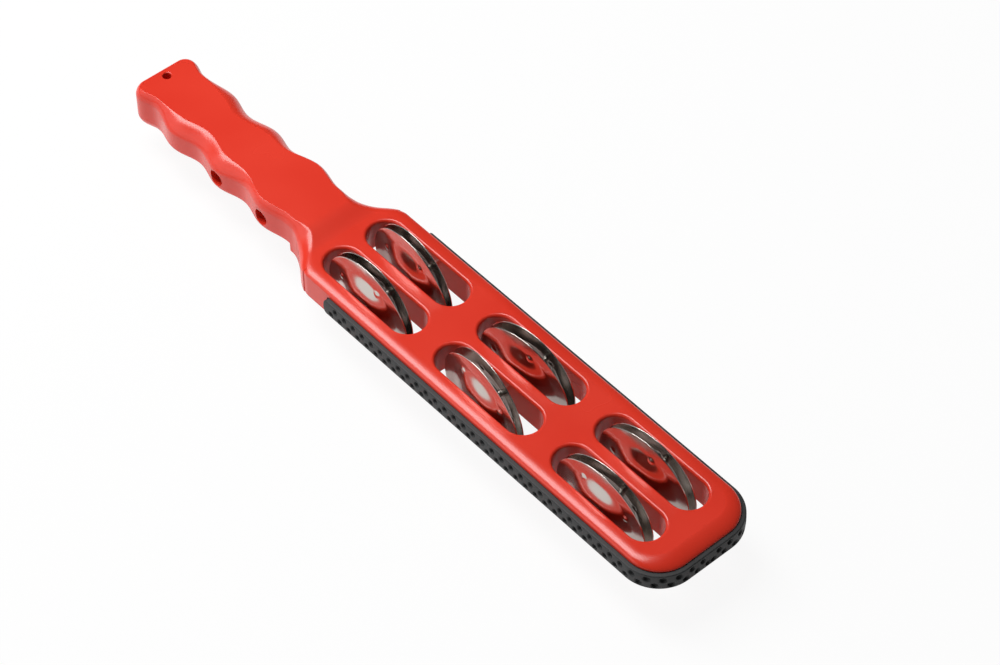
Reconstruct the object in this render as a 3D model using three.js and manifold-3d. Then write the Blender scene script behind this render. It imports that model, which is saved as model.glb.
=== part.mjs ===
// Jingle stick: a moulded red stick with a scalloped handle and a flat slotted head.
// Two rows of slots hold pairs of pressed steel jingles on cross pins. The body is moulded in
// two halves that meet on the middle plane, and a rubber strip runs round the head's edge.
// Millimetres. +X runs from the handle to the head's free end, +Z is up.

import * as THREE from 'three';
import { mergeVertices } from 'three/addons/utils/BufferGeometryUtils.js';
import Module from 'manifold-3d';

const wasm = await Module();
wasm.setup();

// Jingles and pins
const JINGLE_DIAMETER = 50.8;
const JINGLE_SHEET = 0.7;
const JINGLE_HOLE_DIAMETER = 4.4;
const CUP_TOP_DIAMETER = 15;
const CUP_FOOT_DIAMETER = 39;
const CUP_HEIGHT = 2.8;
const FLANGE_RISE = 0.3;
const PIN_DIAMETER = 3;

// Jingle slots: two rows side by side, each slot longer than its jingles are wide
const SLOTS_PER_ROW = 3;
const SLOT_END_ROOM = 4.8;
const SLOT_WIDTH = 17.2;
const SLOT_EDGE_RADIUS = 1.4;
const PAIR_TO_WALL = 1.25;

// Head
const HEAD_THICKNESS = 16;
const CROSS_BAR = 13.6;
const MIDDLE_RAIL = 7;
const SIDE_RAIL = 7.5;
const END_RAIL = 15.8;
const HEAD_CORNER_RADIUS = 16;
const HEAD_BEVEL = { width: 1.8, height: 1.8 };
const END_BEVEL = { width: 7.4, height: 3.2 };

// Shoulder, neck and the ramp between the two thicknesses
const SHOULDER_OVERLAP = 4.2;
const FLARE_LENGTH = 28;
const FLARE_SWELL = 8.4;
const FLARE_BEVEL = { width: 8, height: 4 };
const NECK_RUN = 2.4;
const NECK_HALF_WIDTH = 15.4;
const SHOULDER_PROUD = 0.35;
const SHOULDER_PROUD_RUN = 12;
const SHOULDER_STEP_OVERLAP = 0.2;
const RAMP_LENGTH = 13;
const RAMP_MARGIN = 4;

// Handle
const HANDLE_THICKNESS = 20.4;
const SCALLOP_PITCH = 32;
const SCALLOP_CRESTS = 3;
const CREST_HALF_WIDTH = 18;
const VALLEY_HALF_WIDTH = 14.8;
const END_VALLEY_HALF_WIDTH = 14.5;
const END_HALF_WIDTH = 16.6;
const END_BLOCK_LENGTH = 16.1;
const HANDLE_CORNER_RADIUS = 5;
const HANDLE_BEVEL = { width: 2.4, height: 4.5 };
const GRIP_BEVEL = { width: 7, height: 4.5 };
const NECK_FOOT_BEVEL = { width: 0.8, height: 0.8 };
const NECK_FOOT_RUN = 1.4;
const HANGING_HOLE_DIAMETER = 4;
const HANGING_HOLE_INSET = 6.5;
const CLAMP_SOCKET_DIAMETER = 8;
const CLAMP_SOCKETS = 2;

// Moulded inside of the two halves
const POCKET_WALL = 3.2;
const POCKET_ROOF = 3.5;
const POCKET_CORNER_RADIUS = 3;
const SOCKET_BOSS_WALL = 3.8;
const PEG_DIAMETER = 3.2;
const PEG_HEIGHT = 4;

// Edge strip
const STRIP_HEIGHT = 8.3;
const STRIP_PROUD = 2.3;
const STRIP_SUNK = 1.5;
const STRIP_EDGE_ROUND = 1.1;
const STRIP_START = 17.2;
const STRIP_CORNER_RADIUS = 1.8;

// How the pairs hang from slot 1 onwards: the gap between the rims, then lean and yaw in degrees,
// near jingle first. A positive lean takes the top towards the near side.
const PAIR_HANG = {
  right: [
    { gap: 3.4, lean: [3.5, 0.5], yaw: [1.2, 2.0] },
    { gap: 4.3, lean: [4.2, 2.0], yaw: [-4.0, -5.6] },
    { gap: 4.4, lean: [4.6, 3.2], yaw: [2.4, 4.2] },
  ],
  left: [
    { gap: 3.3, lean: [4.0, 1.2], yaw: [-2.6, -2.2] },
    { gap: 4.4, lean: [5.0, 2.0], yaw: [4.8, 5.0] },
    { gap: 4.4, lean: [3.2, 3.4], yaw: [3.5, 4.2] },
  ],
};

// Clearances
const SEAT_GAP = 0.3;
const CUT_OVERRUN = 4;

// Fineness of the curves
const BEVEL_STEPS = 3;
const SCALLOP_STEPS = 4;
const FLARE_STEPS = 12;
const CORNER_STEPS = 6;
const COLUMNS = 4;
const JINGLE_SIDES = 32;
const SLOT_END_STEPS = 8;
const ROUND_SIDES = 20;
const TONGUE_STEPS = 4;
const POCKET_CORNER_STEPS = 3;
const STEP_RUN = 0.3;
const SLOPE_STEP = 0.01;

// Derived layout, with the middle of the slot field at x = 0 and the parting plane at z = 0
const HALF_HEAD = HEAD_THICKNESS / 2;
const HALF_HANDLE = HANDLE_THICKNESS / 2;
const SLOT_LENGTH = JINGLE_DIAMETER + 2 * SLOT_END_ROOM;
const SLOT_PITCH = SLOT_LENGTH + CROSS_BAR;
const ROW_SPACING = SLOT_WIDTH + MIDDLE_RAIL;
const NEAR_RIM_Y = PAIR_TO_WALL + FLANGE_RISE + CUP_HEIGHT - SLOT_WIDTH / 2;
const SLOT_FIELD_END = ((SLOTS_PER_ROW - 1) * SLOT_PITCH + SLOT_LENGTH) / 2;
const HEAD_HALF_WIDTH = (ROW_SPACING + SLOT_WIDTH) / 2 + SIDE_RAIL;
const HEAD_END_X = SLOT_FIELD_END + END_RAIL;
const FLARE_END_X = -SLOT_FIELD_END + SHOULDER_OVERLAP;
const FLARE_X = FLARE_END_X - FLARE_LENGTH;
const NECK_X = FLARE_X - NECK_RUN;
const SHOULDER_STEP_X = -SLOT_FIELD_END + SHOULDER_STEP_OVERLAP;
const RAMP_FOOT_X = -SLOT_FIELD_END - RAMP_MARGIN;
const NECK_FOOT_X = NECK_X + NECK_FOOT_RUN;
const LAST_VALLEY_X = NECK_X - SCALLOP_CRESTS * SCALLOP_PITCH;
const HANDLE_END_X = LAST_VALLEY_X - END_BLOCK_LENGTH;
const STRIP_START_X = -SLOT_FIELD_END + STRIP_START;

const smooth = (t) => THREE.MathUtils.smoothstep(t, 0, 1);
const mix = (a, b, t) => a + (b - a) * t;
const slotX = (slot) => (slot - (SLOTS_PER_ROW + 1) / 2) * SLOT_PITCH;
const rowY = (row) => (row === 'left' ? ROW_SPACING / 2 : -ROW_SPACING / 2);
const crestX = (crest) => NECK_X - (crest - 0.5) * SCALLOP_PITCH;
const GRIP_START_X = crestX(1) - SCALLOP_PITCH / 4;

// Materials

const redPlastic = () => new THREE.MeshStandardMaterial({ color: 0xe63e2a, roughness: 0.3, metalness: 0 });
const blackRubber = () => new THREE.MeshStandardMaterial({ color: 0x2b2b2b, roughness: 0.75, metalness: 0 });
const nickelSteel = () => new THREE.MeshStandardMaterial({ color: 0xd9d5cf, roughness: 0.12, metalness: 1 });
const plainSteel = () => new THREE.MeshStandardMaterial({ color: 0xb4b2ae, roughness: 0.3, metalness: 1 });

// Solids: closed meshes with shared corners, joined and cut as manifolds

function weld(geometry) {
  const bare = new THREE.BufferGeometry();
  bare.setAttribute('position', geometry.getAttribute('position').clone());
  if (geometry.index) bare.setIndex(geometry.index.clone());
  const merged = mergeVertices(bare, 1e-4);
  const corners = merged.index.array;
  const kept = [];
  for (let i = 0; i < corners.length; i += 3) {
    const [a, b, c] = corners.slice(i, i + 3);
    if (a !== b && b !== c && c !== a) kept.push(a, b, c);
  }
  merged.setIndex(kept);
  return merged;
}

function toSolid(geometry) {
  const welded = weld(geometry);
  const mesh = new wasm.Mesh({
    numProp: 3,
    vertProperties: new Float32Array(welded.getAttribute('position').array),
    triVerts: new Uint32Array(welded.index.array),
  });
  mesh.merge();
  return new wasm.Manifold(mesh);
}

function toGeometry(solid) {
  const { vertProperties, triVerts } = solid.getMesh();
  const geometry = new THREE.BufferGeometry();
  geometry.setAttribute('position', new THREE.BufferAttribute(vertProperties, 3));
  geometry.setIndex(new THREE.BufferAttribute(triVerts, 1));
  geometry.computeVertexNormals();
  return geometry;
}

const subtractAll = (solid, tools) => tools.reduce((rest, tool) => rest.subtract(tool), solid);

function fromFacets(facets) {
  const geometry = new THREE.BufferGeometry();
  geometry.setFromPoints(facets.flat());
  return geometry;
}

// Facets between two rows of points; both rows run the same way
function band(lower, upper) {
  const facets = [];
  for (let i = 0; i + 1 < lower.length; i += 1) {
    facets.push([lower[i], lower[i + 1], upper[i + 1]]);
    facets.push([lower[i], upper[i + 1], upper[i]]);
  }
  return facets;
}

const closeLoop = (points) => [...points, points[0]];

// A skin through closed loops of points, with a flat cap on the first and last one
function skinLoops(loops) {
  const facets = [];
  for (let i = 0; i + 1 < loops.length; i += 1) {
    facets.push(...band(closeLoop(loops[i]), closeLoop(loops[i + 1])));
  }
  const cap = (loop, flip) => {
    const middle = loop.reduce((sum, p) => sum.add(p), new THREE.Vector3()).divideScalar(loop.length);
    closeLoop(loop).slice(0, -1).forEach((p, i) => {
      const next = closeLoop(loop)[i + 1];
      facets.push(flip ? [middle, next, p] : [middle, p, next]);
    });
  };
  cap(loops[0], true);
  cap(loops[loops.length - 1], false);
  return fromFacets(facets);
}

// Plan outline of the body

const handleKnots = (() => {
  const knots = [{ x: NECK_X, halfWidth: NECK_HALF_WIDTH }];
  for (let crest = 1; crest <= SCALLOP_CRESTS; crest += 1) {
    const valley = crest === SCALLOP_CRESTS ? END_VALLEY_HALF_WIDTH : VALLEY_HALF_WIDTH;
    knots.push({ x: crestX(crest), halfWidth: CREST_HALF_WIDTH });
    knots.push({ x: NECK_X - crest * SCALLOP_PITCH, halfWidth: valley });
  }
  knots.push({ x: HANDLE_END_X + HANDLE_CORNER_RADIUS, halfWidth: END_HALF_WIDTH });
  return knots.reverse();
})();

// Half the width at x: cosine waves between the handle's crests and valleys, then the flare
function halfWidth(x) {
  if (x >= NECK_X) return mix(NECK_HALF_WIDTH, HEAD_HALF_WIDTH, smooth((x - FLARE_X) / FLARE_LENGTH));
  const next = Math.max(1, handleKnots.findIndex((knot) => knot.x > x));
  const [a, b] = [handleKnots[next - 1], handleKnots[next]];
  const t = THREE.MathUtils.clamp((x - a.x) / (b.x - a.x), 0, 1);
  return mix(a.halfWidth, b.halfWidth, (1 - Math.cos(Math.PI * t)) / 2);
}

// The shoulder stands proud of the head's side and ends in a small step
function shoulderProud(x) {
  if (x >= SHOULDER_STEP_X) return 0;
  return SHOULDER_PROUD * smooth((x - SHOULDER_STEP_X) / SHOULDER_PROUD_RUN + 1);
}

// Half the thickness: a smooth ramp leads from the handle down to the head
const halfThickness = (x) => mix(HALF_HEAD, HALF_HANDLE, smooth((RAMP_FOOT_X - x) / RAMP_LENGTH));

// Edge bevel at a station. It is broad along the grip and swells again in the flare.
// Below, the grip's bevel runs on to the neck and stops square there.
function bevelAt(x, normalX, upper) {
  const onHead = smooth((x - FLARE_X) / FLARE_LENGTH);
  const onEnd = x > 0 ? normalX : 0;
  const fromEnd = smooth((x - LAST_VALLEY_X) / (SCALLOP_PITCH / 2));
  const onGrip = upper ? fromEnd * smooth((GRIP_START_X - x) / (GRIP_START_X - crestX(2))) : fromEnd;
  const swell = smooth((x - FLARE_X) / FLARE_SWELL);
  const fade = smooth((FLARE_END_X - x) / (FLARE_LENGTH - FLARE_SWELL));
  const onFlare = upper ? swell * fade : 0;
  const size = (key) => {
    const grip = mix(HANDLE_BEVEL[key], GRIP_BEVEL[key], onGrip);
    const neck = upper || x < NECK_FOOT_X ? grip : NECK_FOOT_BEVEL[key];
    return mix(mix(mix(neck, HEAD_BEVEL[key], onHead), FLARE_BEVEL[key], onFlare), END_BEVEL[key], onEnd);
  };
  return { width: size('width'), height: size('height') };
}

// Stations along the near side, from the handle's end to the head's end
function sideStations() {
  const stations = [];
  const corner = (centreX, centreY, radius, from, to) => {
    for (let i = 0; i <= CORNER_STEPS; i += 1) {
      const angle = mix(from, to, i / CORNER_STEPS);
      const normal = new THREE.Vector2(Math.sin(angle), -Math.cos(angle));
      stations.push({ x: centreX + radius * normal.x, y: centreY + radius * normal.y, normal });
    }
  };
  const along = (x) => {
    const slope = (halfWidth(x + SLOPE_STEP) - halfWidth(x - SLOPE_STEP)) / (2 * SLOPE_STEP);
    stations.push({ x, y: -halfWidth(x), normal: new THREE.Vector2(-slope, -1).normalize() });
  };
  const handleArcX = HANDLE_END_X + HANDLE_CORNER_RADIUS;
  corner(handleArcX, -END_HALF_WIDTH + HANDLE_CORNER_RADIUS, HANDLE_CORNER_RADIUS, -Math.PI / 2, 0);
  const xs = [NECK_FOOT_X - STEP_RUN, NECK_FOOT_X, SHOULDER_STEP_X - STEP_RUN, SHOULDER_STEP_X];
  for (let knot = 1; knot < handleKnots.length; knot += 1) {
    for (let i = 1; i <= SCALLOP_STEPS; i += 1) {
      xs.push(mix(handleKnots[knot - 1].x, handleKnots[knot].x, i / SCALLOP_STEPS));
    }
  }
  for (let i = 0; i <= FLARE_STEPS; i += 1) xs.push(FLARE_X + (i / FLARE_STEPS) * FLARE_LENGTH);
  xs.sort((a, b) => a - b).forEach(along);
  const headArcX = HEAD_END_X - HEAD_CORNER_RADIUS;
  corner(headArcX, -HEAD_HALF_WIDTH + HEAD_CORNER_RADIUS, HEAD_CORNER_RADIUS, 0, Math.PI / 2);
  return stations;
}

// One half of the body: its walls rise from the parting plane, turn in through the rounded edge
// bevel and close on the broad face. Rows of points run across from the near to the far side.
function halfBody(upper) {
  const stations = sideStations();
  const row = (station, level) => {
    const bevel = bevelAt(station.x, station.normal.x, upper);
    const turn = (Math.max(level - 1, 0) / BEVEL_STEPS) * (Math.PI / 2);
    const inset = (depth) => {
      const out = shoulderProud(station.x) * Math.max(0, 1 - depth / bevel.width) - depth;
      return new THREE.Vector2(station.x, station.y).addScaledVector(station.normal, out);
    };
    const edge = inset(bevel.width * (1 - Math.cos(turn)));
    const rim = inset(bevel.width);
    const height = halfThickness(rim.x) - bevel.height * (1 - Math.sin(turn));
    const points = [];
    for (let column = 0; column <= COLUMNS; column += 1) {
      const across = 1 - (2 * column) / COLUMNS;
      points.push(new THREE.Vector3(edge.x, edge.y * across, level === 0 ? 0 : height));
    }
    return points;
  };
  const levels = [];
  for (let level = 0; level <= BEVEL_STEPS + 1; level += 1) levels.push(stations.map((s) => row(s, level)));
  const loop = (rows) => [
    ...rows.map((points) => points[0]),
    ...rows[rows.length - 1].slice(1, -1),
    ...rows.map((points) => points[COLUMNS]).reverse(),
    ...rows[0].slice(1, -1).reverse(),
  ];
  const facets = [];
  for (let level = 0; level <= BEVEL_STEPS; level += 1) {
    facets.push(...band(closeLoop(loop(levels[level])), closeLoop(loop(levels[level + 1]))));
  }
  const face = levels[BEVEL_STEPS + 1];
  const parting = levels[0];
  for (let i = 0; i + 1 < stations.length; i += 1) {
    facets.push(...band(face[i + 1], face[i]));
    facets.push(...band(parting[i], parting[i + 1]));
  }
  const body = toSolid(fromFacets(facets));
  return upper ? body : body.mirror([0, 0, 1]);
}

// Cutting tools

function cylinderAlong(axis, diameter, length, centre) {
  const geometry = new THREE.CylinderGeometry(diameter / 2, diameter / 2, length, ROUND_SIDES);
  if (axis === 'z') geometry.rotateX(Math.PI / 2);
  return toSolid(geometry.translate(centre.x, centre.y, centre.z));
}

// A slot: straight walls with round ends, opening out through the rounded edge at each face
function slotTool(x, y) {
  const outline = (grow) => {
    const radius = SLOT_WIDTH / 2 + grow;
    const reach = (SLOT_LENGTH - SLOT_WIDTH) / 2;
    const points = [];
    for (const end of [1, -1]) {
      for (let i = 0; i <= SLOT_END_STEPS; i += 1) {
        const angle = Math.PI * (i / SLOT_END_STEPS - 0.5);
        points.push([end * (reach + radius * Math.cos(angle)), end * radius * Math.sin(angle)]);
      }
    }
    return points;
  };
  const ring = (grow, z) => outline(grow).map(([px, py]) => new THREE.Vector3(x + px, y + py, z));
  const rings = [];
  for (let step = 0; step <= BEVEL_STEPS; step += 1) {
    const turn = (step / BEVEL_STEPS) * (Math.PI / 2);
    const grow = SLOT_EDGE_RADIUS * (1 - Math.cos(turn));
    rings.push([grow, HALF_HEAD - SLOT_EDGE_RADIUS * (1 - Math.sin(turn))]);
  }
  rings.push([SLOT_EDGE_RADIUS, HALF_HEAD + CUT_OVERRUN]);
  const below = rings.map(([grow, z]) => ring(grow, -z)).reverse();
  const above = rings.map(([grow, z]) => ring(grow, z));
  return toSolid(skinLoops([...below, ...above]));
}

// Moulding pockets in the handle, between the end block, the socket bosses and the neck
function pocketTools() {
  const boss = CLAMP_SOCKET_DIAMETER / 2 + SOCKET_BOSS_WALL;
  const hole = HANDLE_END_X + HANGING_HOLE_INSET + HANGING_HOLE_DIAMETER / 2;
  const stops = [hole + SOCKET_BOSS_WALL];
  for (let socket = CLAMP_SOCKETS; socket >= 1; socket -= 1) {
    stops.push(crestX(socket) - boss, crestX(socket) + boss);
  }
  stops.push(NECK_X + POCKET_WALL);
  const half = VALLEY_HALF_WIDTH - POCKET_WALL;
  const tools = [];
  for (let i = 0; i < stops.length; i += 2) {
    const shape = new THREE.Shape();
    const [from, to, r] = [stops[i], stops[i + 1], POCKET_CORNER_RADIUS];
    shape.moveTo(from + r, -half).lineTo(to - r, -half);
    shape.absarc(to - r, -half + r, r, -Math.PI / 2, 0).lineTo(to, half - r);
    shape.absarc(to - r, half - r, r, 0, Math.PI / 2).lineTo(from + r, half);
    shape.absarc(from + r, half - r, r, Math.PI / 2, Math.PI).lineTo(from, -half + r);
    shape.absarc(from + r, -half + r, r, Math.PI, 1.5 * Math.PI);
    const depth = HALF_HANDLE - POCKET_ROOF;
    const options = { depth: 2 * depth, bevelEnabled: false, curveSegments: POCKET_CORNER_STEPS };
    tools.push(toSolid(new THREE.ExtrudeGeometry(shape, options).translate(0, 0, -depth)));
  }
  return tools;
}

// Locating pegs on the centre line: at the neck, on each cross bar and in the end rail
function pegPlaces() {
  const places = [(RAMP_FOOT_X - SLOT_FIELD_END) / 2, SLOT_FIELD_END + END_RAIL / 2];
  for (let slot = 1; slot < SLOTS_PER_ROW; slot += 1) places.push(slotX(slot) + SLOT_PITCH / 2);
  return places;
}

const peg = (x, grow) =>
  cylinderAlong('z', PEG_DIAMETER + 2 * grow, 2 * (PEG_HEIGHT + grow), { x, y: 0, z: 0 });

// Edge strip: a section carried round the head from shoulder to shoulder, with rounded corners

function stripPath(startX) {
  const path = [];
  const cornerShare = STRIP_CORNER_RADIUS / (STRIP_HEIGHT / 2);
  for (let i = 0; i <= TONGUE_STEPS; i += 1) {
    const turn = (i / TONGUE_STEPS) * (Math.PI / 2);
    const x = startX + STRIP_CORNER_RADIUS * (1 - Math.cos(turn));
    const share = 1 - cornerShare * (1 - Math.sin(turn));
    path.push({ x, y: -HEAD_HALF_WIDTH, normal: new THREE.Vector2(0, -1), share });
  }
  const arcX = HEAD_END_X - HEAD_CORNER_RADIUS;
  const arcY = -HEAD_HALF_WIDTH + HEAD_CORNER_RADIUS;
  for (let i = 0; i <= CORNER_STEPS; i += 1) {
    const angle = (i / CORNER_STEPS) * (Math.PI / 2);
    const normal = new THREE.Vector2(Math.sin(angle), -Math.cos(angle));
    const { x, y } = normal.clone().multiplyScalar(HEAD_CORNER_RADIUS);
    path.push({ x: arcX + x, y: arcY + y, normal, share: 1 });
  }
  const mirrored = path.map((p) => ({ ...p, y: -p.y, normal: new THREE.Vector2(p.normal.x, -p.normal.y) }));
  return [...path, ...mirrored.reverse()];
}

function stripSolid(section, startX) {
  const loops = stripPath(startX).map(({ x, y, normal, share }) => {
    const place = ([out, z]) => new THREE.Vector3(x + normal.x * out, y + normal.y * out, z * share);
    return section.map(place);
  });
  return toSolid(skinLoops(loops));
}

function stripBand() {
  const half = STRIP_HEIGHT / 2;
  const face = STRIP_PROUD - STRIP_EDGE_ROUND / 2;
  const edge = face - STRIP_EDGE_ROUND;
  const section = [[-STRIP_SUNK, half], [edge, half], [face, half - STRIP_EDGE_ROUND], [STRIP_PROUD, 0]];
  const lower = [[face, STRIP_EDGE_ROUND - half], [edge, -half], [-STRIP_SUNK, -half]];
  return stripSolid([...section, ...lower], STRIP_START_X);
}

function stripChannel() {
  const half = STRIP_HEIGHT / 2 + SEAT_GAP;
  const floor = -STRIP_SUNK - SEAT_GAP;
  const section = [[floor, half], [CUT_OVERRUN, half], [CUT_OVERRUN, -half], [floor, -half]];
  return stripSolid(section, STRIP_START_X - SEAT_GAP);
}

// Body halves

function bodyCuts() {
  const wide = 2 * (HEAD_HALF_WIDTH + CUT_OVERRUN);
  const tall = HANDLE_THICKNESS + CUT_OVERRUN;
  const cuts = [stripChannel(), ...pocketTools()];
  for (let slot = 1; slot <= SLOTS_PER_ROW; slot += 1) {
    const x = slotX(slot);
    cuts.push(slotTool(x, rowY('left')), slotTool(x, rowY('right')));
    cuts.push(cylinderAlong('y', PIN_DIAMETER + 2 * SEAT_GAP, wide, { x, y: 0, z: 0 }));
  }
  for (let socket = 1; socket <= CLAMP_SOCKETS; socket += 1) {
    cuts.push(cylinderAlong('y', CLAMP_SOCKET_DIAMETER, wide, { x: crestX(socket), y: 0, z: 0 }));
  }
  const hole = { x: HANDLE_END_X + HANGING_HOLE_INSET, y: 0, z: 0 };
  cuts.push(cylinderAlong('z', HANGING_HOLE_DIAMETER, tall, hole));
  return cuts;
}

function bodyHalves() {
  const cuts = bodyCuts();
  const pegs = pegPlaces();
  const upper = subtractAll(halfBody(true), [...cuts, ...pegs.map((x) => peg(x, SEAT_GAP))]);
  const lower = pegs.reduce((half, x) => half.add(peg(x, 0)), subtractAll(halfBody(false), cuts));
  return { upper, lower };
}

// Jingle: a pressed disc whose cup rises towards +Y from the rim at y = 0, round a pin hole
function jingleGeometry() {
  const hole = JINGLE_HOLE_DIAMETER / 2;
  const cupTop = CUP_TOP_DIAMETER / 2;
  const cupFoot = CUP_FOOT_DIAMETER / 2;
  const rim = JINGLE_DIAMETER / 2 / Math.cos(Math.PI / JINGLE_SIDES);
  const crown = FLANGE_RISE + CUP_HEIGHT;
  const upper = [[hole, crown], [cupTop, crown], [cupFoot, FLANGE_RISE], [rim, 0]];
  const lower = upper.map(([r, y]) => [r, y - JINGLE_SHEET]).reverse();
  const profile = closeLoop([...upper, ...lower]).map(([r, y]) => new THREE.Vector2(r, y));
  const geometry = new THREE.LatheGeometry(profile.reverse(), JINGLE_SIDES, Math.PI / JINGLE_SIDES);
  return toGeometry(toSolid(geometry));
}

// Assembly

const stick = new THREE.Group();

function place(name, geometry, material) {
  const mesh = new THREE.Mesh(geometry, material);
  mesh.name = name;
  stick.add(mesh);
  return mesh;
}

const halves = bodyHalves();
place('upper_shell', toGeometry(halves.upper), redPlastic());
place('lower_shell', toGeometry(halves.lower), redPlastic());
place('edge_strip', toGeometry(stripBand()), blackRubber());

const pinLength = 2 * (HEAD_HALF_WIDTH - STRIP_SUNK - 2 * SEAT_GAP);
for (let slot = 1; slot <= SLOTS_PER_ROW; slot += 1) {
  const pin = new THREE.CylinderGeometry(PIN_DIAMETER / 2, PIN_DIAMETER / 2, pinLength, ROUND_SIDES);
  place(`jingle_pin_${slot}`, toGeometry(toSolid(pin)), plainSteel()).position.x = slotX(slot);
}

// The stick lies on its jingles, so each pin rests on the lower edge of the jingles' holes.
// A pair's cups face away from each other; the near jingle is the one on the -Y side.
const lift = (JINGLE_HOLE_DIAMETER - PIN_DIAMETER) / 2 - SEAT_GAP;

function hangPair(row, slot) {
  const { gap, lean, yaw } = PAIR_HANG[row][(slot - 1) % PAIR_HANG[row].length];
  const sides = row === 'right' ? ['outer', 'inner'] : ['inner', 'outer'];
  sides.forEach((side, index) => {
    const jingle = place(`jingle_${row}_${slot}_${side}`, jingleGeometry(), nickelSteel());
    jingle.position.set(slotX(slot), rowY(row) + NEAR_RIM_Y + index * gap, lift);
    const turn = (1 - index) * Math.PI + THREE.MathUtils.degToRad(yaw[index]);
    jingle.rotation.set(THREE.MathUtils.degToRad(lean[index]), 0, turn);
  });
}

for (let slot = 1; slot <= SLOTS_PER_ROW; slot += 1) {
  hangPair('right', slot);
  hangPair('left', slot);
}

// The origin is on the surface that the stick lies on, under the middle of its length and width
const reach = new THREE.Box3().setFromObject(stick, true);
const middle = reach.getCenter(new THREE.Vector3());
stick.position.set(-middle.x, -middle.y, -reach.min.z);

export default stick;
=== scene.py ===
"""Jingle stick: a moulded red body in two halves, a dimpled rubber edge strip, and pairs of pressed,
plated jingles on cross pins.

Shapes are worked out in millimetres, with the middle slots at x = 0 and the parting plane of the body at
z = 0. make_piece puts them in the shared frame, in metres.
"""

import bmesh
import bpy
import numpy as np
from mathutils import Matrix, Vector
from mathutils.geometry import delaunay_2d_cdt


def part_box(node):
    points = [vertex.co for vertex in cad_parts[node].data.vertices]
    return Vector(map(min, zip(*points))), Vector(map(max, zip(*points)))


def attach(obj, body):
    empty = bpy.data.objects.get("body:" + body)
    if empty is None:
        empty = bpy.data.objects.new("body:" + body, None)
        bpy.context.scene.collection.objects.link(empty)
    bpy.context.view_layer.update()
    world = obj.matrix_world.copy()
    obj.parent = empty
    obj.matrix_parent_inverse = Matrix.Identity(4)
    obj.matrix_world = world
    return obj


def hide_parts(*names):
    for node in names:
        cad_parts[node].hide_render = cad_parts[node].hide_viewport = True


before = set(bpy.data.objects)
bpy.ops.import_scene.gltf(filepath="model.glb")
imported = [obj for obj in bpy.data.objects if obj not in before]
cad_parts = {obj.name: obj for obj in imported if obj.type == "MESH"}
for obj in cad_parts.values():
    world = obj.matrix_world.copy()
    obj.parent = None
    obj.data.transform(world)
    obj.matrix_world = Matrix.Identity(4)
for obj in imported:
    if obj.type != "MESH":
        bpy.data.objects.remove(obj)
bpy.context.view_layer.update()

MM = 0.001
WELD = 0.003 * MM
SLACK = 0.005
PIN_LOW, PIN_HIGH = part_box("jingle_pin_2")
PLACE = np.array([(PIN_LOW.x + PIN_HIGH.x) / 2, 0.0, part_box("upper_shell")[0].z])

# Slots, in two rows
SLOT_X = {1: -74.0, 2: 0.0, 3: 74.0}
ROW_Y = {"right": -12.1, "left": 12.1}
SLOT_LENGTH = 60.4
SLOT_WIDTH = 17.2
SLOT_EDGE = 1.4

# Head, shoulder and neck
HALF_HEAD = 8.0
HEAD_WIDE = 28.2
HEAD_END = 120.0
HEAD_CORNER = 16.0
FLARE_END = -100.0
FLARE_LENGTH = 28.0
FLARE_START = FLARE_END - FLARE_LENGTH
FLARE_SWELL = 8.4
NECK = -130.4
NECK_WIDE = 15.4
NECK_FOOT = -129.0
SHOULDER_STEP = -104.0
SHOULDER_PROUD = 0.35
SHOULDER_RUN = 12.0
STEP_RUN = 0.3
RAMP_FOOT = -108.2
RAMP_LENGTH = 13.0
RAMP_MARGIN = 0.3

# Handle. The arrays give the places and half widths of its valleys and crests, from its end to the neck.
# The sockets cross the two crests nearest the neck
HALF_HANDLE = 10.2
HANDLE_END = -242.5
HANDLE_CORNER = 6.5
END_WIDE = 16.6
END_VALLEY_WIDE = 14.5
VALLEY_WIDE = 14.8
CREST_WIDE = 18.0
HALF_WAVE = 16.0
HANDLE_X = np.append(HANDLE_END + HANDLE_CORNER, NECK - HALF_WAVE * np.arange(6.0, -1.0, -1.0))
HANDLE_WIDE = np.array([END_WIDE, END_VALLEY_WIDE, CREST_WIDE, VALLEY_WIDE, CREST_WIDE, VALLEY_WIDE,
                        CREST_WIDE, NECK_WIDE])
SOCKETS = HANDLE_X[[4, 6]]
SOCKET_RADIUS = 4.0
HANG_HOLE = -236.0
HANG_HOLE_RADIUS = 2.0
HANG_HOLE_EDGE = 0.5

# Edge bevels as (width, height), and how round they turn into the broad face and into the side: 1 is the
# sharp turn of a plain chamfer, 2 that of a quarter ellipse
HANDLE_BEVEL = (2.4, 4.5)
GRIP_BEVEL = (7.0, 5.9)
GRIP_START = -154.4
GRIP_FULL = -178.4
NECK_FOOT_BEVEL = (0.8, 0.8)
FLARE_BEVEL = (6.5, 6.0)
HEAD_BEVEL = (5.5, 1.9)
END_BEVEL = (7.4, 3.2)
BEVEL_ROUND = (1.4, 1.6)
HEAD_ROUND = (2.0, 1.9)

# Edge strip. Its middle stands a little above the parting plane
STRIP_HALF = 4.05
STRIP_RAISED = 0.4
STRIP_PROUD = 2.3
STRIP_CROWN = 0.15
STRIP_SUNK = 1.5
STRIP_START = -87.0
STRIP_CORNER = 1.8
STRIP_GAP = 0.3
STRIP_ROUND = 0.5
STRIP_STATION = 0.32
CHANNEL_START = STRIP_START - STRIP_GAP
CHANNEL_RUN = 0.05
DIMPLE_PITCH = 6.0
DIMPLE_ROW = 1.7
DIMPLE_RADIUS = 1.6
DIMPLE_WALL = 0.72
DIMPLE_DEPTH = 1.4
PLAIN_LEAD = 3.5

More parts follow.
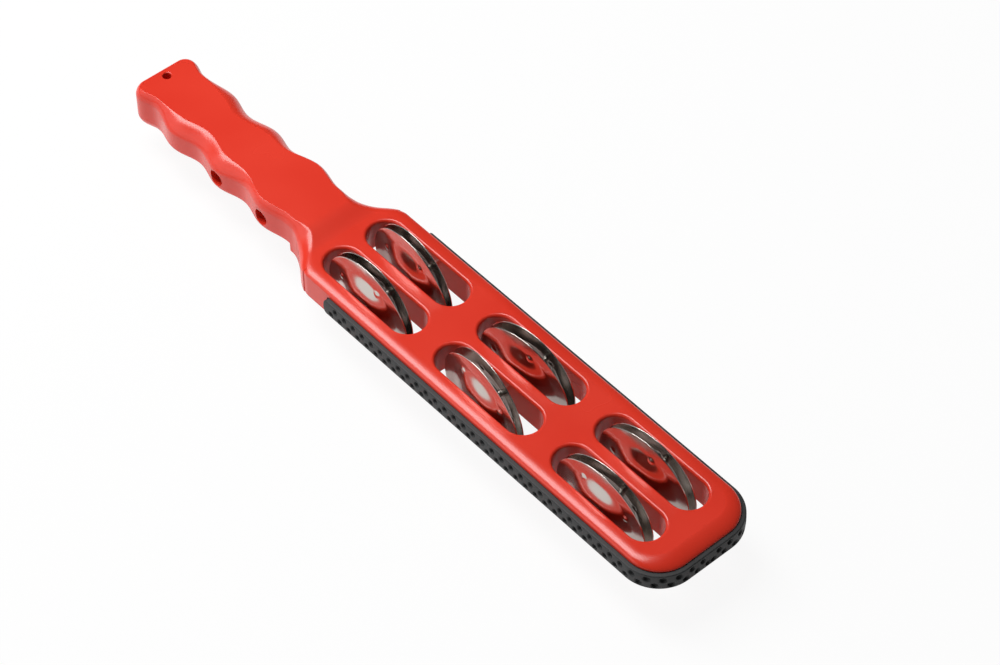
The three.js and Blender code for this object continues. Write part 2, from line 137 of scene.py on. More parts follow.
# Jingles and pins
JINGLE_RADIUS = 25.4
SHEET = 0.45
HOLE_RADIUS = 2.2
CUP_TOP = 7.5
CUP_FOOT = 19.5
CUP_HEIGHT = 2.8
FLANGE_RISE = 0.3
JINGLE_LIFT = 0.4
NEAR_RIM = -4.25
HAMMER_RING = 17.6
HAMMER_RADIUS = 2.1
HAMMER_DEPTH = 0.5
PIN_RADIUS = 1.5
PIN_HALF = 26.1
PIN_CHAMFER = 0.3

# Gap between the rims of each pair, and the lean, yaw and turn of its jingles in degrees, near jingle first
RIM_GAP = {("right", 1): 3.4, ("right", 2): 4.3, ("right", 3): 4.4,
           ("left", 1): 3.3, ("left", 2): 4.4, ("left", 3): 4.4}
HANG = {
    ("right", 1): ((3.5, 1.2, 28), (0.5, 2.0, 70)),
    ("right", 2): ((4.2, -4.0, 55), (2.0, -5.6, 12)),
    ("right", 3): ((4.6, 2.4, 61), (3.2, 4.2, 35)),
    ("left", 1): ((4.0, -2.6, 30), (1.2, -2.2, 5)),
    ("left", 2): ((5.0, 4.8, 17), (2.0, 5.0, 50)),
    ("left", 3): ((3.2, 3.5, 16), (3.4, 4.2, 75)),
}


def smooth(t):
    """Smoothstep of t, held at 0 and 1 outside that range."""
    t = np.clip(t, 0.0, 1.0)
    return t * t * (3.0 - 2.0 * t)


def mix(a, b, t):
    """a where t is 0, b where t is 1."""
    return a + (b - a) * t


def grid_faces(rows, columns, closed_rows=False, closed_columns=False):
    """Quads between neighbouring rows and columns of a grid that is stored row by row."""
    i = np.arange(rows if closed_rows else rows - 1)[:, None]
    j = np.arange(columns if closed_columns else columns - 1)[None, :]
    below, right = (i + 1) % rows, (j + 1) % columns
    corners = [i * columns + j, i * columns + right, below * columns + right, below * columns + j]
    return np.stack(np.broadcast_arrays(*corners), -1).reshape(-1, 4)


def patch(points, closed_rows=False, closed_columns=False):
    """Points of a grid, rows by columns by 3, as a pair of flat points and quads."""
    rows, columns = points.shape[:2]
    return points.reshape(-1, 3), grid_faces(rows, columns, closed_rows, closed_columns)


def flat_face(z, outline, *holes):
    """Fills a level face between an outline and its holes with triangles on their own points. A triangle is
    kept where a line from its middle crosses the loops an odd number of times."""
    loops = [np.asarray(loop)[:, :2] for loop in (outline, *holes)]
    ends = np.cumsum([len(loop) for loop in loops])
    index = [np.arange(end - len(loop), end) for loop, end in zip(loops, ends)]
    edges = np.concatenate([np.stack([i, np.roll(i, -1)], 1) for i in index])
    points = np.concatenate(loops)
    corners, _, triangles, *_ = delaunay_2d_cdt([Vector(p) for p in points], edges.tolist(), [], 0, 1e-5)
    corners = np.array([tuple(c) for c in corners])
    triangles = np.array(triangles)
    middle = corners[triangles].mean(1)[:, None, :]
    start, stop = points[edges[:, 0]][None], points[edges[:, 1]][None]
    spans = (start[..., 1] > middle[..., 1]) != (stop[..., 1] > middle[..., 1])
    rise = np.where(spans, stop[..., 1] - start[..., 1], 1.0)
    cross = start[..., 0] + (middle[..., 1] - start[..., 1]) / rise * (stop[..., 0] - start[..., 0])
    inside = (spans & (middle[..., 0] < cross)).sum(1) % 2 == 1
    return np.column_stack([corners, np.full(len(corners), z)]), triangles[inside]


def make_piece(name, patches, material, body, node, crease=35.0):
    """Joins patches into one closed mesh with shared corners, places it, and lets it stand for a node."""
    starts = np.cumsum([0] + [len(points) for points, _ in patches])
    points = np.concatenate([points for points, _ in patches])
    faces = [face for (_, quads), start in zip(patches, starts) for face in (quads + start).tolist()]
    mesh = bpy.data.meshes.new(name)
    mesh.from_pydata((points * MM + PLACE).tolist(), [], faces)
    edit = bmesh.new()
    edit.from_mesh(mesh)
    bmesh.ops.remove_doubles(edit, verts=edit.verts, dist=WELD)
    bmesh.ops.recalc_face_normals(edit, faces=edit.faces)
    edit.to_mesh(mesh)
    edit.free()
    mesh.shade_smooth()
    mesh.set_sharp_from_angle(angle=np.radians(crease))
    mesh.materials.append(material)
    piece = bpy.data.objects.new(name, mesh)
    bpy.context.scene.collection.objects.link(piece)
    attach(piece, body)
    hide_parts(node)
    return piece


# Body


def half_width(x):
    """Half the body's width at x: cosine waves between the handle's crests and valleys, then a smooth flare
    from the neck to the head."""
    i = np.clip(np.searchsorted(HANDLE_X, x, side="right"), 1, len(HANDLE_X) - 1)
    t = np.clip((x - HANDLE_X[i - 1]) / (HANDLE_X[i] - HANDLE_X[i - 1]), 0.0, 1.0)
    handle = mix(HANDLE_WIDE[i - 1], HANDLE_WIDE[i], (1.0 - np.cos(np.pi * t)) / 2.0)
    head = mix(NECK_WIDE, HEAD_WIDE, smooth((x - FLARE_START) / FLARE_LENGTH))
    return np.where(x >= NECK, head, handle)


def half_thickness(x):
    """Half the thickness at x: a smooth ramp from the handle down to the head."""
    return mix(HALF_HEAD, HALF_HANDLE, smooth((RAMP_FOOT - x) / RAMP_LENGTH))


def near_edge():
    """Stations along the near edge from the handle's end to the head's end: places and outward normals. They
    are an arc at each corner, and between them points that crowd at the sockets and at small steps."""
    def corner(x, y, radius, first, last):
        angle = np.radians(np.linspace(first, last, 25))
        normal = np.column_stack([np.sin(angle), -np.cos(angle)])
        return np.array([x, y]) + radius * normal, normal

    half_turn = np.linspace(0.0, np.pi, 25)
    runs = [np.linspace(HANDLE_X[0], NECK, 190), np.linspace(NECK, FLARE_END, 120)]
    runs += [socket + SOCKET_RADIUS * np.cos(half_turn) for socket in SOCKETS]
    runs += [[NECK_FOOT - STEP_RUN, NECK_FOOT, SHOULDER_STEP - STEP_RUN, SHOULDER_STEP]]
    lead = STRIP_CORNER * (1.0 - np.cos(np.linspace(0.0, np.pi / 2.0, 13)))
    runs += [[CHANNEL_START - CHANNEL_RUN], CHANNEL_START + lead]
    x = np.unique(np.round(np.concatenate(runs), 3))[1:]
    apart = 0.02
    x = x[np.append(True, np.diff(x) > apart)]
    slope = (half_width(x + apart / 2.0) - half_width(x - apart / 2.0)) / apart
    normal = np.column_stack([-slope, -np.ones_like(x)])
    normal /= np.linalg.norm(normal, axis=1, keepdims=True)
    along = np.column_stack([x, -half_width(x)])
    rear = corner(HANDLE_X[0], HANDLE_CORNER - HANDLE_WIDE[0], HANDLE_CORNER, -90.0, 0.0)
    front = corner(HEAD_END - HEAD_CORNER, HEAD_CORNER - HEAD_WIDE, HEAD_CORNER, 0.0, 90.0)
    return np.concatenate([rear[0], along, front[0]]), np.concatenate([rear[1], normal, front[1]])


def edge_bevel(x, normal_x, upper):
    """Width and height of the bevel at each station, blended by smoothsteps along x: broad along the grip,
    slim at the neck, swelling again in the flare, low on the head and broad round its end. On the lower half
    the grip's bevel runs on to the neck and stops square there."""
    on_head = smooth((x - FLARE_START) / FLARE_LENGTH)
    on_end = np.where(x > 0.0, normal_x, 0.0)
    on_grip = smooth((x - HANDLE_X[1]) / (HANDLE_X[2] - HANDLE_X[1]))
    swell = smooth((x - FLARE_START) / FLARE_SWELL) * smooth((FLARE_END - x) / (FLARE_LENGTH - FLARE_SWELL))
    if upper:
        on_grip = on_grip * smooth((GRIP_START - x) / (GRIP_START - GRIP_FULL))
    on_foot = (not upper) & (x >= NECK_FOOT)
    size = []
    for k in (0, 1):
        neck = np.where(on_foot, NECK_FOOT_BEVEL[k], mix(HANDLE_BEVEL[k], GRIP_BEVEL[k], on_grip))
        flare = mix(mix(neck, HEAD_BEVEL[k], on_head), FLARE_BEVEL[k], swell if upper else 0.0)
        size.append(mix(flare, END_BEVEL[k], on_end))
    return size


def stadium(length, width, steps=28):
    """Outline of a slot with round ends, about its middle."""
    angle = np.linspace(-np.pi / 2.0, np.pi / 2.0, steps)
    reach = (length - width) / 2.0
    end = np.column_stack([reach + width / 2.0 * np.cos(angle), width / 2.0 * np.sin(angle)])
    return np.concatenate([end, -end])


def slot_wall(x, y):
    """A slot's wall in one half: a stadium outline carried up from the parting plane, then out along a
    quarter circle to the broad face."""
    turn = np.linspace(0.0, np.pi / 2.0, 13)
    grow = np.concatenate([[0.0], SLOT_EDGE * (1.0 - np.cos(turn))])
    rise = np.concatenate([[0.0], HALF_HEAD - SLOT_EDGE * (1.0 - np.sin(turn))])
    outlines = [stadium(SLOT_LENGTH + 2.0 * g, SLOT_WIDTH + 2.0 * g) + (x, y) for g in grow]
    return np.stack([np.column_stack([o, np.full(len(o), z)]) for o, z in zip(outlines, rise)])


def hanging_hole():
    """The hanging hole's wall in one half: a circle carried up to the handle's face and out along a small
    quarter circle."""
    turn = np.linspace(0.0, np.pi / 2.0, 7)
    radius = np.concatenate([[0.0], HANG_HOLE_EDGE * (1.0 - np.cos(turn))]) + HANG_HOLE_RADIUS
    rise = np.concatenate([[0.0], HALF_HANDLE - HANG_HOLE_EDGE * (1.0 - np.sin(turn))])
    angle = np.linspace(0.0, 2.0 * np.pi, 36, endpoint=False)[None, :]
    radius, rise = radius[:, None], rise[:, None]
    ring = [HANG_HOLE + radius * np.cos(angle), radius * np.sin(angle), rise + 0.0 * angle]
    return np.stack(ring, -1)


def socket_wall(x):
    """Half of a socket's wall: half a circle at the parting plane carried across the handle between its two
    sides."""
    angle = np.linspace(0.0, np.pi, 25)[:, None]
    across = np.linspace(-1.0, 1.0, 9)[None, :]
    place = np.round(x + SOCKET_RADIUS * np.cos(angle), 3)
    rise = np.sqrt(np.maximum(SOCKET_RADIUS ** 2 - (place - x) ** 2, 0.0))
    points = [place + 0.0 * across, half_width(place) * across, rise + 0.0 * across]
    return np.stack(points, -1)


def edge_rows(upper):
    """The edge of one half as a profile carried round its outline: from the parting plane, over the sockets
    or into the strip's channel, up the side and in along the bevel. As an angle turns through a quarter
    circle, the bevel goes up with a power of its sine and in with a power of its cosine, from a plain chamfer
    at power 2 to a quarter ellipse at power 1. Each row runs along the near edge and back along the far
    one."""
    place, normal = near_edge()
    x = place[:, 0]
    width, height = edge_bevel(x, normal[:, 0], upper)
    lead = np.clip((x - SHOULDER_STEP) / SHOULDER_RUN + 1.0, 0.0, 1.0)
    proud = np.where(x >= SHOULDER_STEP, 0.0, SHOULDER_PROUD * smooth(lead))
    top = half_thickness(x - normal[:, 0] * width)
    lift = np.zeros_like(x)
    for socket in SOCKETS:
        lift = np.maximum(lift, np.sqrt(np.maximum(SOCKET_RADIUS ** 2 - (x - socket) ** 2, 0.0)))
    start = np.clip((x - CHANNEL_START) / STRIP_CORNER, 0.0, 1.0)
    corner = STRIP_CORNER * (1.0 - np.sqrt(1.0 - (1.0 - start) ** 2))
    reach = STRIP_HALF + STRIP_GAP + (STRIP_RAISED if upper else -STRIP_RAISED)
    channel = np.where(x >= CHANNEL_START - SLACK, reach - corner, 0.0)
    depth = np.where(channel > 0.0, STRIP_SUNK + STRIP_GAP, 0.0)

    def row(inset, z):
        out = proud * np.maximum(0.0, 1.0 - inset / width) - inset
        near = np.column_stack([place + normal * out[:, None], z])
        return np.concatenate([near, (near * (1.0, -1.0, 1.0))[::-1]])

    wall = np.maximum(lift, channel)
    rows = [row(depth, lift), row(depth, wall), row(0.0 * x, wall)]
    on_side = smooth((x - FLARE_START) / FLARE_LENGTH) * np.where(x > 0.0, 1.0 - normal[:, 0], 1.0)
    to_face, to_side = (2.0 / mix(BEVEL_ROUND[k], HEAD_ROUND[k], on_side) for k in (0, 1))
    for turn in np.linspace(0.0, np.pi / 2.0, 17):
        inward = 1.0 - max(np.cos(turn), 0.0) ** to_face
        upward = 1.0 - np.sin(turn) ** to_side
        rows.append(row(width * inward, top - height * upward))
    return np.stack(rows)


def broad_face(near, far, hole, slots):
    """The broad face between its near and far rims: level on the handle and on the head, and between them a
    grid for the ramp, whose height is half_thickness at each point."""
    ramp_top = RAMP_FOOT - RAMP_LENGTH
    on_ramp = (near[:, 0] >= ramp_top - RAMP_MARGIN) & (near[:, 0] <= RAMP_FOOT + RAMP_MARGIN)
    first, last = np.flatnonzero(on_ramp)[[0, -1]]
    across = np.linspace(1.0, -1.0, 49)[None, :]
    ramp_x = near[first:last + 1, :1] + 0.0 * across
    ramp_y = near[first:last + 1, 1:2] * across
    ramp = np.stack([ramp_x, ramp_y, half_thickness(ramp_x)], -1)
    handle = np.concatenate([near[:first + 1], ramp[0, 1:-1], far[:first + 1][::-1]])
    head = np.concatenate([near[last:], far[last:][::-1], ramp[-1, 1:-1][::-1]])
    return [patch(ramp), flat_face(HALF_HANDLE, handle, hole[-1]),
            flat_face(HALF_HEAD, head, *[wall[-1] for wall in slots])]


def parting_face(near, far, hole, slots):
    """The level face at the parting plane, in three runs with the sockets between them."""
    lows = [-np.inf, *(SOCKETS + SOCKET_RADIUS - SLACK)]
    highs = [*(SOCKETS - SOCKET_RADIUS + SLACK), np.inf]
    holes = [[hole[0]], [], [wall[0] for wall in slots]]
    faces = []
    for low, high, inside in zip(lows, highs, holes):
        run = np.flatnonzero((near[:, 0] >= low) & (near[:, 0] <= high))
        faces.append(flat_face(0.0, np.concatenate([near[run], far[run][::-1]]), *inside))
    return faces


def body_half(upper):
    """One half of the body as patches: its edge, the walls of its openings, its broad face and its parting
    face. The lower half is worked out with z pointing down and then turned over."""
    rows = edge_rows(upper)
    near, far = np.split(rows, 2, axis=1)
    far = far[:, ::-1]
    slots = [slot_wall(x, y) for x in SLOT_X.values() for y in ROW_Y.values()]
    hole = hanging_hole()
    patches = [patch(rings, closed_columns=True) for rings in (rows, *slots, hole)]
    patches += [patch(socket_wall(socket)) for socket in SOCKETS]
    patches += broad_face(near[-1], far[-1], hole, slots)
    patches += parting_face(near[0], far[0], hole, slots)
    up = 1.0 if upper else -1.0
    return [(points * (1.0, 1.0, up), faces) for points, faces in patches]


# Edge strip


def edge_strip():
    """A section carried round the head from shoulder to shoulder, along a straight, a quarter circle and a
    straight, then mirrored. The section is a band with rounded outer edges and a face crowned as a parabola,
    its height drawn in along a quarter circle at each end's corners. Two staggered rows of round dimples are
    sunk into the face."""
    straight = HEAD_END - HEAD_CORNER - STRIP_START
    arc = HEAD_CORNER * np.pi / 2.0
    end = HEAD_WIDE - HEAD_CORNER
    half = straight + arc + end
    lead = STRIP_CORNER * (1.0 - np.cos(np.linspace(0.0, np.pi / 2.0, 14)))
    stations = int((half - STRIP_CORNER) / STRIP_STATION)
    run = np.concatenate([lead, np.linspace(STRIP_CORNER, half, stations)[1:]])
    angle = np.clip((run - straight) / HEAD_CORNER, 0.0, np.pi / 2.0)
    normal = np.column_stack([np.sin(angle), -np.cos(angle)])
    x = STRIP_START + np.minimum(run, straight) + HEAD_CORNER * np.sin(angle)
    y = -HEAD_WIDE + HEAD_CORNER * (1.0 - np.cos(angle)) + np.maximum(run - straight - arc, 0.0)
    drawn_in = 1.0 - np.sqrt(1.0 - (1.0 - np.clip(run / STRIP_CORNER, 0.0, 1.0)) ** 2)
    share = 1.0 - STRIP_CORNER / STRIP_HALF * drawn_in

    turn = np.linspace(0.0, np.pi / 2.0, 6)[1:]
    shelf = STRIP_PROUD - STRIP_CROWN - STRIP_ROUND
    edge_out = shelf + STRIP_ROUND * np.sin(turn)
    edge_z = STRIP_HALF - STRIP_ROUND * (1.0 - np.cos(turn))
    face_z = np.linspace(edge_z[-1], -edge_z[-1], 25)[1:-1]
    face_out = STRIP_PROUD - STRIP_CROWN * (face_z / edge_z[-1]) ** 2
    out = np.concatenate([[-STRIP_SUNK, shelf], edge_out, face_out, edge_out[::-1], [shelf, -STRIP_SUNK]])
    z = np.concatenate([[STRIP_HALF, STRIP_HALF], edge_z, face_z, -edge_z[::-1], [-STRIP_HALF, -STRIP_HALF]])

    level = z[None, :] * share[:, None]
    sunk = np.zeros_like(level)
    for row, shift in ((DIMPLE_ROW, 0.25), (-DIMPLE_ROW, 0.75)):
        along = (run[:, None] - half) / DIMPLE_PITCH - shift
        nearest = (along - np.round(along)) * DIMPLE_PITCH
        away = np.sqrt(nearest ** 2 + (level - row) ** 2)
        sunk += DIMPLE_DEPTH * smooth((DIMPLE_RADIUS - away) / DIMPLE_WALL)
    sunk = np.where((run[:, None] > PLAIN_LEAD) & (out[None, :] > shelf), sunk, 0.0)
    push = out[None, :] - sunk
    near = [x[:, None] + normal[:, :1] * push, y[:, None] + normal[:, 1:] * push, level + STRIP_RAISED]
    near = np.stack(near, -1)
    loops = np.concatenate([near, (near * (1.0, -1.0, 1.0))[::-1][1:]])
    caps = [(loop, np.arange(len(loop))[None, ::flip]) for loop, flip in ((loops[0], 1), (loops[-1], -1))]
    return [patch(loops, closed_columns=True), *caps]


# Jingles and pins


def jingle(row, slot, index):
    """A pressed disc. The profile of its sheet runs from the pin hole over the cup, whose side is a
    smoothstep, and the flange, round the rim and back, and is turned about the pin's axis. Four round hammer
    marks, a quarter turn apart, push the sheet out on the cup's side. Then the disc is leaned, yawed and
    moved to its place on the pin."""
    lean, yaw, turn = np.radians(HANG[row, slot][index])
    rim = JINGLE_RADIUS - SHEET / 2.0
    r = np.concatenate([np.linspace(HOLE_RADIUS, CUP_FOOT, 56), np.linspace(CUP_FOOT, rim, 22)[1:]])
    flange = FLANGE_RISE * (1.0 - np.clip((r - CUP_FOOT) / (JINGLE_RADIUS - CUP_FOOT), 0.0, 1.0))
    rise = flange + CUP_HEIGHT * smooth((CUP_FOOT - r) / (CUP_FOOT - CUP_TOP))
    bend = np.linspace(np.pi / 2.0, -np.pi / 2.0, 9)[1:-1]
    edge_r = rim + SHEET / 2.0 * np.cos(bend)
    edge_y = rise[-1] - SHEET / 2.0 + SHEET / 2.0 * np.sin(bend)
    radius = np.concatenate([r, edge_r, r[::-1]])[:, None]
    height = np.concatenate([rise, edge_y, (rise - SHEET)[::-1]])[:, None]
    angle = np.linspace(0.0, 2.0 * np.pi, 220, endpoint=False)[None, :]
    mark = (angle - turn + np.pi / 4.0) % (np.pi / 2.0) - np.pi / 4.0
    away = np.sqrt((radius * np.cos(mark) - HAMMER_RING) ** 2 + (radius * np.sin(mark)) ** 2)
    pushed = HAMMER_DEPTH * smooth(1.0 - away / HAMMER_RADIUS)
    disc = np.stack([radius * np.cos(angle), height + pushed, radius * np.sin(angle)], -1)

    swing = yaw + (1 - index) * np.pi
    about_z = np.array([[np.cos(swing), -np.sin(swing), 0], [np.sin(swing), np.cos(swing), 0], [0, 0, 1]])
    about_x = np.array([[1, 0, 0], [0, np.cos(lean), -np.sin(lean)], [0, np.sin(lean), np.cos(lean)]])
    middle = np.array([SLOT_X[slot], ROW_Y[row] + NEAR_RIM + index * RIM_GAP[row, slot], JINGLE_LIFT])
    placed = disc @ (about_x @ about_z).T + middle
    return [patch(placed, closed_rows=True, closed_columns=True)]


def jingle_pin(slot):
    """A straight round pin with chamfered ends: its profile from end to end turned about the axis."""
    side = PIN_HALF - PIN_CHAMFER
    tip = PIN_RADIUS - PIN_CHAMFER
    y = np.array([-PIN_HALF, -PIN_HALF, -side, side, PIN_HALF, PIN_HALF])[:, None]
    radius = np.array([0.0, tip, PIN_RADIUS, PIN_RADIUS, tip, 0.0])[:, None]
    angle = np.linspace(0.0, 2.0 * np.pi, 40, endpoint=False)[None, :]
    points = [SLOT_X[slot] + radius * np.cos(angle), y + 0.0 * angle, radius * np.sin(angle)]
    return [patch(np.stack(points, -1), closed_columns=True)]


# Materials


def linear(hex_colour):
    """An sRGB hex colour as linear red, green, blue and alpha."""
    value = np.array([int(hex_colour[i:i + 2], 16) for i in (1, 3, 5)]) / 255.0
    value = np.where(value <= 0.04045, value / 12.92, ((value + 0.055) / 1.055) ** 2.4)
    return (*value.tolist(), 1.0)


def add(tree, kind, links=(), **settings):
    """Adds a node. Settings name its properties, or its input sockets with _ for a space; links are pairs of
    an input and the output that feeds it."""
    made = tree.nodes.new(kind)
    for key, value in settings.items():
        if hasattr(made, key):
            setattr(made, key, value)
        else:
            made.inputs[key.replace("_", " ")].default_value = value
    for target, source in links:
        tree.links.new(source, made.inputs[target])
    return made


def new_material(name, **settings):
    """A material with one Principled shader; settings name that shader's sockets."""
    material = bpy.data.materials.new(name)
    material.use_nodes = True
    tree = material.node_tree
    shader = tree.nodes["Principled BSDF"]
    for key, value in settings.items():
        shader.inputs[key.replace("_", " ")].default_value = value
    return material, tree, shader


def red_abs():
    """Moulded ABS, dyed right through: an even, strong red with a soft gloss. The mould leaves a very fine
    grain, drawn at 0.9 mm so that it shows, and the flow of the melt a faint unevenness 40 mm wide."""
    material, tree, shader = new_material("moulded_red_abs", IOR=1.53)
    place = add(tree, "ShaderNodeTexCoord").outputs["Object"]
    flow = add(tree, "ShaderNodeTexNoise", [("Vector", place)], Scale=1.0 / 0.040, Detail=2.0)
    tone = add(tree, "ShaderNodeValToRGB", [("Fac", flow.outputs["Fac"])])
    tone.color_ramp.elements[0].position = 0.3
    tone.color_ramp.elements[0].color = linear("#E03421")
    tone.color_ramp.elements[1].position = 0.7
    tone.color_ramp.elements[1].color = linear("#E63A26")
    tree.links.new(tone.outputs["Color"], shader.inputs["Base Color"])
    grain = add(tree, "ShaderNodeTexNoise", [("Vector", place)], Scale=1.0 / 0.0009, Detail=2.0)
    gloss = add(tree, "ShaderNodeMapRange", [("Value", flow.outputs["Fac"])], To_Min=0.22, To_Max=0.30)
    tree.links.new(gloss.outputs["Result"], shader.inputs["Roughness"])
    bump = add(tree, "ShaderNodeBump", [("Height", grain.outputs["Fac"])], Strength=0.06, Distance=0.0002)
    tree.links.new(bump.outputs["Normal"], shader.inputs["Normal"])
    return material


def strip_rubber():
    """Moulded charcoal rubber: nearly matt, slightly greyed by dust in patches 6 mm wide, with a fine grain
    0.5 mm wide."""
    material, tree, shader = new_material("moulded_charcoal_rubber", IOR=1.52)
    place = add(tree, "ShaderNodeTexCoord").outputs["Object"]
    dust = add(tree, "ShaderNodeTexNoise", [("Vector", place)], Scale=1.0 / 0.006, Detail=4.0)
    tone = add(tree, "ShaderNodeValToRGB", [("Fac", dust.outputs["Fac"])])
    tone.color_ramp.elements[0].position = 0.35
    tone.color_ramp.elements[0].color = linear("#242425")
    tone.color_ramp.elements[1].position = 0.7
    tone.color_ramp.elements[1].color = linear("#2E2F30")
    tree.links.new(tone.outputs["Color"], shader.inputs["Base Color"])
    gloss = add(tree, "ShaderNodeMapRange", [("Value", dust.outputs["Fac"])], To_Min=0.5, To_Max=0.62)
    tree.links.new(gloss.outputs["Result"], shader.inputs["Roughness"])
    grain = add(tree, "ShaderNodeTexNoise", [("Vector", place)], Scale=1.0 / 0.0005, Detail=2.0)
    bump = add(tree, "ShaderNodeBump", [("Height", grain.outputs["Fac"])], Strength=0.2, Distance=0.0002)
    tree.links.new(bump.outputs["Normal"], shader.inputs["Normal"])
    return material


def nickel_plate():
    """Bright nickel plate on pressed steel: a warm mirror. Pressing leaves a slow waviness about 9 mm wide,
    and handling a faint bloom that dulls it in patches 12 mm wide."""
    material, tree, shader = new_material("bright_nickel_plate", Metallic=1.0)
    shader.inputs["Base Color"].default_value = linear("#CFC8C2")
    place = add(tree, "ShaderNodeTexCoord").outputs["Object"]
    bloom = add(tree, "ShaderNodeTexNoise", [("Vector", place)], Scale=1.0 / 0.012, Detail=3.0)
    gloss = add(tree, "ShaderNodeMapRange", [("Value", bloom.outputs["Fac"])], To_Min=0.12, To_Max=0.21)
    tree.links.new(gloss.outputs["Result"], shader.inputs["Roughness"])
    wave = add(tree, "ShaderNodeTexNoise", [("Vector", place)], Scale=1.0 / 0.009, Detail=1.0)
    bump = add(tree, "ShaderNodeBump", [("Height", wave.outputs["Fac"])], Strength=0.25, Distance=0.0006)
    tree.links.new(bump.outputs["Normal"], shader.inputs["Normal"])
    return material


def drawn_steel():
    """Plain drawn steel wire for the pins: grey metal with fine scratches along its length."""
    material, tree, shader = new_material("drawn_steel_wire", Metallic=1.0)
    shader.inputs["Base Color"].default_value = linear("#B9B6B0")
    place = add(tree, "ShaderNodeTexCoord").outputs["Object"]
    along = add(tree, "ShaderNodeMapping", [("Vector", place)], Scale=(1.0, 0.05, 1.0))
    draw = add(tree, "ShaderNodeTexNoise", [("Vector", along.outputs["Vector"])], Scale=1.0 / 0.0006)
    gloss = add(tree, "ShaderNodeMapRange", [("Value", draw.outputs["Fac"])], To_Min=0.2, To_Max=0.4)
    tree.links.new(gloss.outputs["Result"], shader.inputs["Roughness"])
    return material


# Pieces


RED_ABS = red_abs()
RUBBER = strip_rubber()
NICKEL = nickel_plate()
STEEL = drawn_steel()

for name, node in (("moulded_upper_half", "upper_shell"), ("moulded_lower_half", "lower_shell")):
    half = make_piece(name, body_half(node == "upper_shell"), RED_ABS, "frame", node)
    half.modifiers.new("level_faces", "WEIGHTED_NORMAL").keep_sharp = True
make_piece("dimpled_edge_strip", edge_strip(), RUBBER, "frame", "edge_strip", crease=60.0)
for slot in SLOT_X:
    make_piece(f"pin_{slot}", jingle_pin(slot), STEEL, f"pin_{slot}", f"jingle_pin_{slot}")
    for row, sides in (("right", ("outer", "inner")), ("left", ("inner", "outer"))):
        for index, side in enumerate(sides):
            node = f"jingle_{row}_{slot}_{side}"
            make_piece(f"pressed_{node}", jingle(row, slot, index), NICKEL, node, node)


# Stage


# Shares of plain white in the table, as the camera sees it and as shiny surfaces do
TABLE_SEEN = 0.92
TABLE_MIRRORED = 0.25
TABLE_HALF = 6.0
ROOM_LIGHT = 0.07
LIT_POINT = Vector((0.03, 0.0, 0.03))


def white_floor():
    """A white table that takes soft shadows. The camera sees it nearly white, shiny surfaces partly so."""
    mesh = bpy.data.meshes.new("table")
    corners = [(x * TABLE_HALF, y * TABLE_HALF, 0.0) for x, y in ((-1, -1), (1, -1), (1, 1), (-1, 1))]
    mesh.from_pydata(corners, [], [(0, 1, 2, 3)])
    material = bpy.data.materials.new("white_table")
    material.use_nodes = True
    tree = material.node_tree
    tree.nodes.clear()
    paint = add(tree, "ShaderNodeBsdfDiffuse", Color=linear("#F4F4F4"))
    glow = add(tree, "ShaderNodeEmission", Color=(1.0, 1.0, 1.0, 1.0), Strength=1.0)
    ray = add(tree, "ShaderNodeLightPath").outputs
    shiny = add(tree, "ShaderNodeMath", operation="MAXIMUM",
                links=[(0, ray["Is Glossy Ray"]), (1, ray["Is Transmission Ray"])])
    mirrored = add(tree, "ShaderNodeMath", operation="MULTIPLY", links=[(0, shiny.outputs[0])])
    mirrored.inputs[1].default_value = TABLE_MIRRORED
    seen = add(tree, "ShaderNodeMath", operation="MULTIPLY", links=[(0, ray["Is Camera Ray"])])
    seen.inputs[1].default_value = TABLE_SEEN
    part = add(tree, "ShaderNodeMath", operation="MAXIMUM",
               links=[(0, seen.outputs[0]), (1, mirrored.outputs[0])])
    blend = add(tree, "ShaderNodeMixShader",
                links=[(0, part.outputs[0]), (1, paint.outputs[0]), (2, glow.outputs[0])])
    add(tree, "ShaderNodeOutputMaterial", links=[("Surface", blend.outputs[0])])
    mesh.materials.append(material)
    table = bpy.data.objects.new("table", mesh)
    bpy.context.scene.collection.objects.link(table)


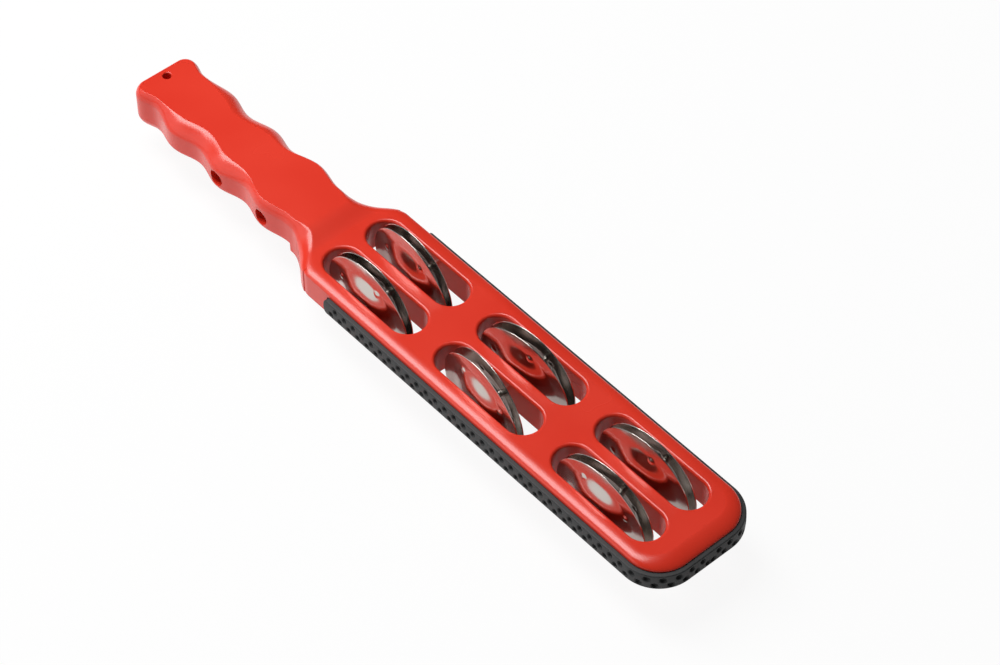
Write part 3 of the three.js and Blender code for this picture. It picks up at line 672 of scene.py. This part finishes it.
def studio_world():
    """A dim grey room, white where the camera looks straight at it."""
    world = bpy.data.worlds.new("studio")
    bpy.context.scene.world = world
    world.use_nodes = True
    tree = world.node_tree
    tree.nodes.clear()
    room = add(tree, "ShaderNodeBackground", Color=linear("#FFFFFF"), Strength=ROOM_LIGHT)
    white = add(tree, "ShaderNodeBackground", Color=(1.0, 1.0, 1.0, 1.0), Strength=1.0)
    ray = add(tree, "ShaderNodeLightPath").outputs
    blend = add(tree, "ShaderNodeMixShader",
                links=[(0, ray["Is Camera Ray"]), (1, room.outputs[0]), (2, white.outputs[0])])
    add(tree, "ShaderNodeOutputWorld", links=[("Surface", blend.outputs[0])])


def softbox(name, direction, distance, width, height, power):
    """A rectangular lamp at a distance in a direction from the lit point, facing it."""
    lamp = bpy.data.lights.new(name, "AREA")
    lamp.shape = "RECTANGLE"
    lamp.size = width
    lamp.size_y = height
    lamp.energy = power
    away = Vector(direction).normalized()
    box = bpy.data.objects.new(name, lamp)
    box.location = LIT_POINT + away * distance
    box.rotation_euler = away.to_track_quat("Z", "Y").to_euler()
    bpy.context.scene.collection.objects.link(box)


def photo_camera():
    """The photograph's view: azimuth, elevation and distance from a point on the head's face, with the focal
    length, in pixels of a picture 1000 wide, that matches the slots' perspective."""
    azimuth = np.radians(48.554)
    elevation = np.radians(48.746)
    distance = 1.36663
    focal = 3213.573
    picture_width = 1000.0
    level = np.cos(elevation)
    back = Vector((np.sin(azimuth) * level, -np.cos(azimuth) * level, np.sin(elevation)))
    target = Vector(PLACE) + Vector((-20.0, 12.0, HALF_HEAD)) * MM
    lens = bpy.data.cameras.new("photo")
    lens.sensor_fit = "HORIZONTAL"
    lens.sensor_width = 36.0
    lens.lens = focal * lens.sensor_width / picture_width
    lens.clip_start = 0.01
    camera = bpy.data.objects.new("photo", lens)
    across = Vector((np.cos(azimuth), np.sin(azimuth), 0.0))
    turned = Matrix((across, back.cross(across), back)).transposed()
    camera.matrix_world = Matrix.Translation(target + back * distance) @ turned.to_4x4()
    bpy.context.scene.collection.objects.link(camera)
    bpy.context.scene.camera = camera


bpy.context.scene.view_settings.view_transform = "Standard"
white_floor()
studio_world()
softbox("top_softbox", (-0.45, -0.10, 0.89), distance=1.4, width=0.6, height=1.2, power=20.0)
softbox("side_softbox", (-0.50, -0.75, 0.44), distance=1.6, width=1.8, height=1.2, power=7.5)
photo_camera()
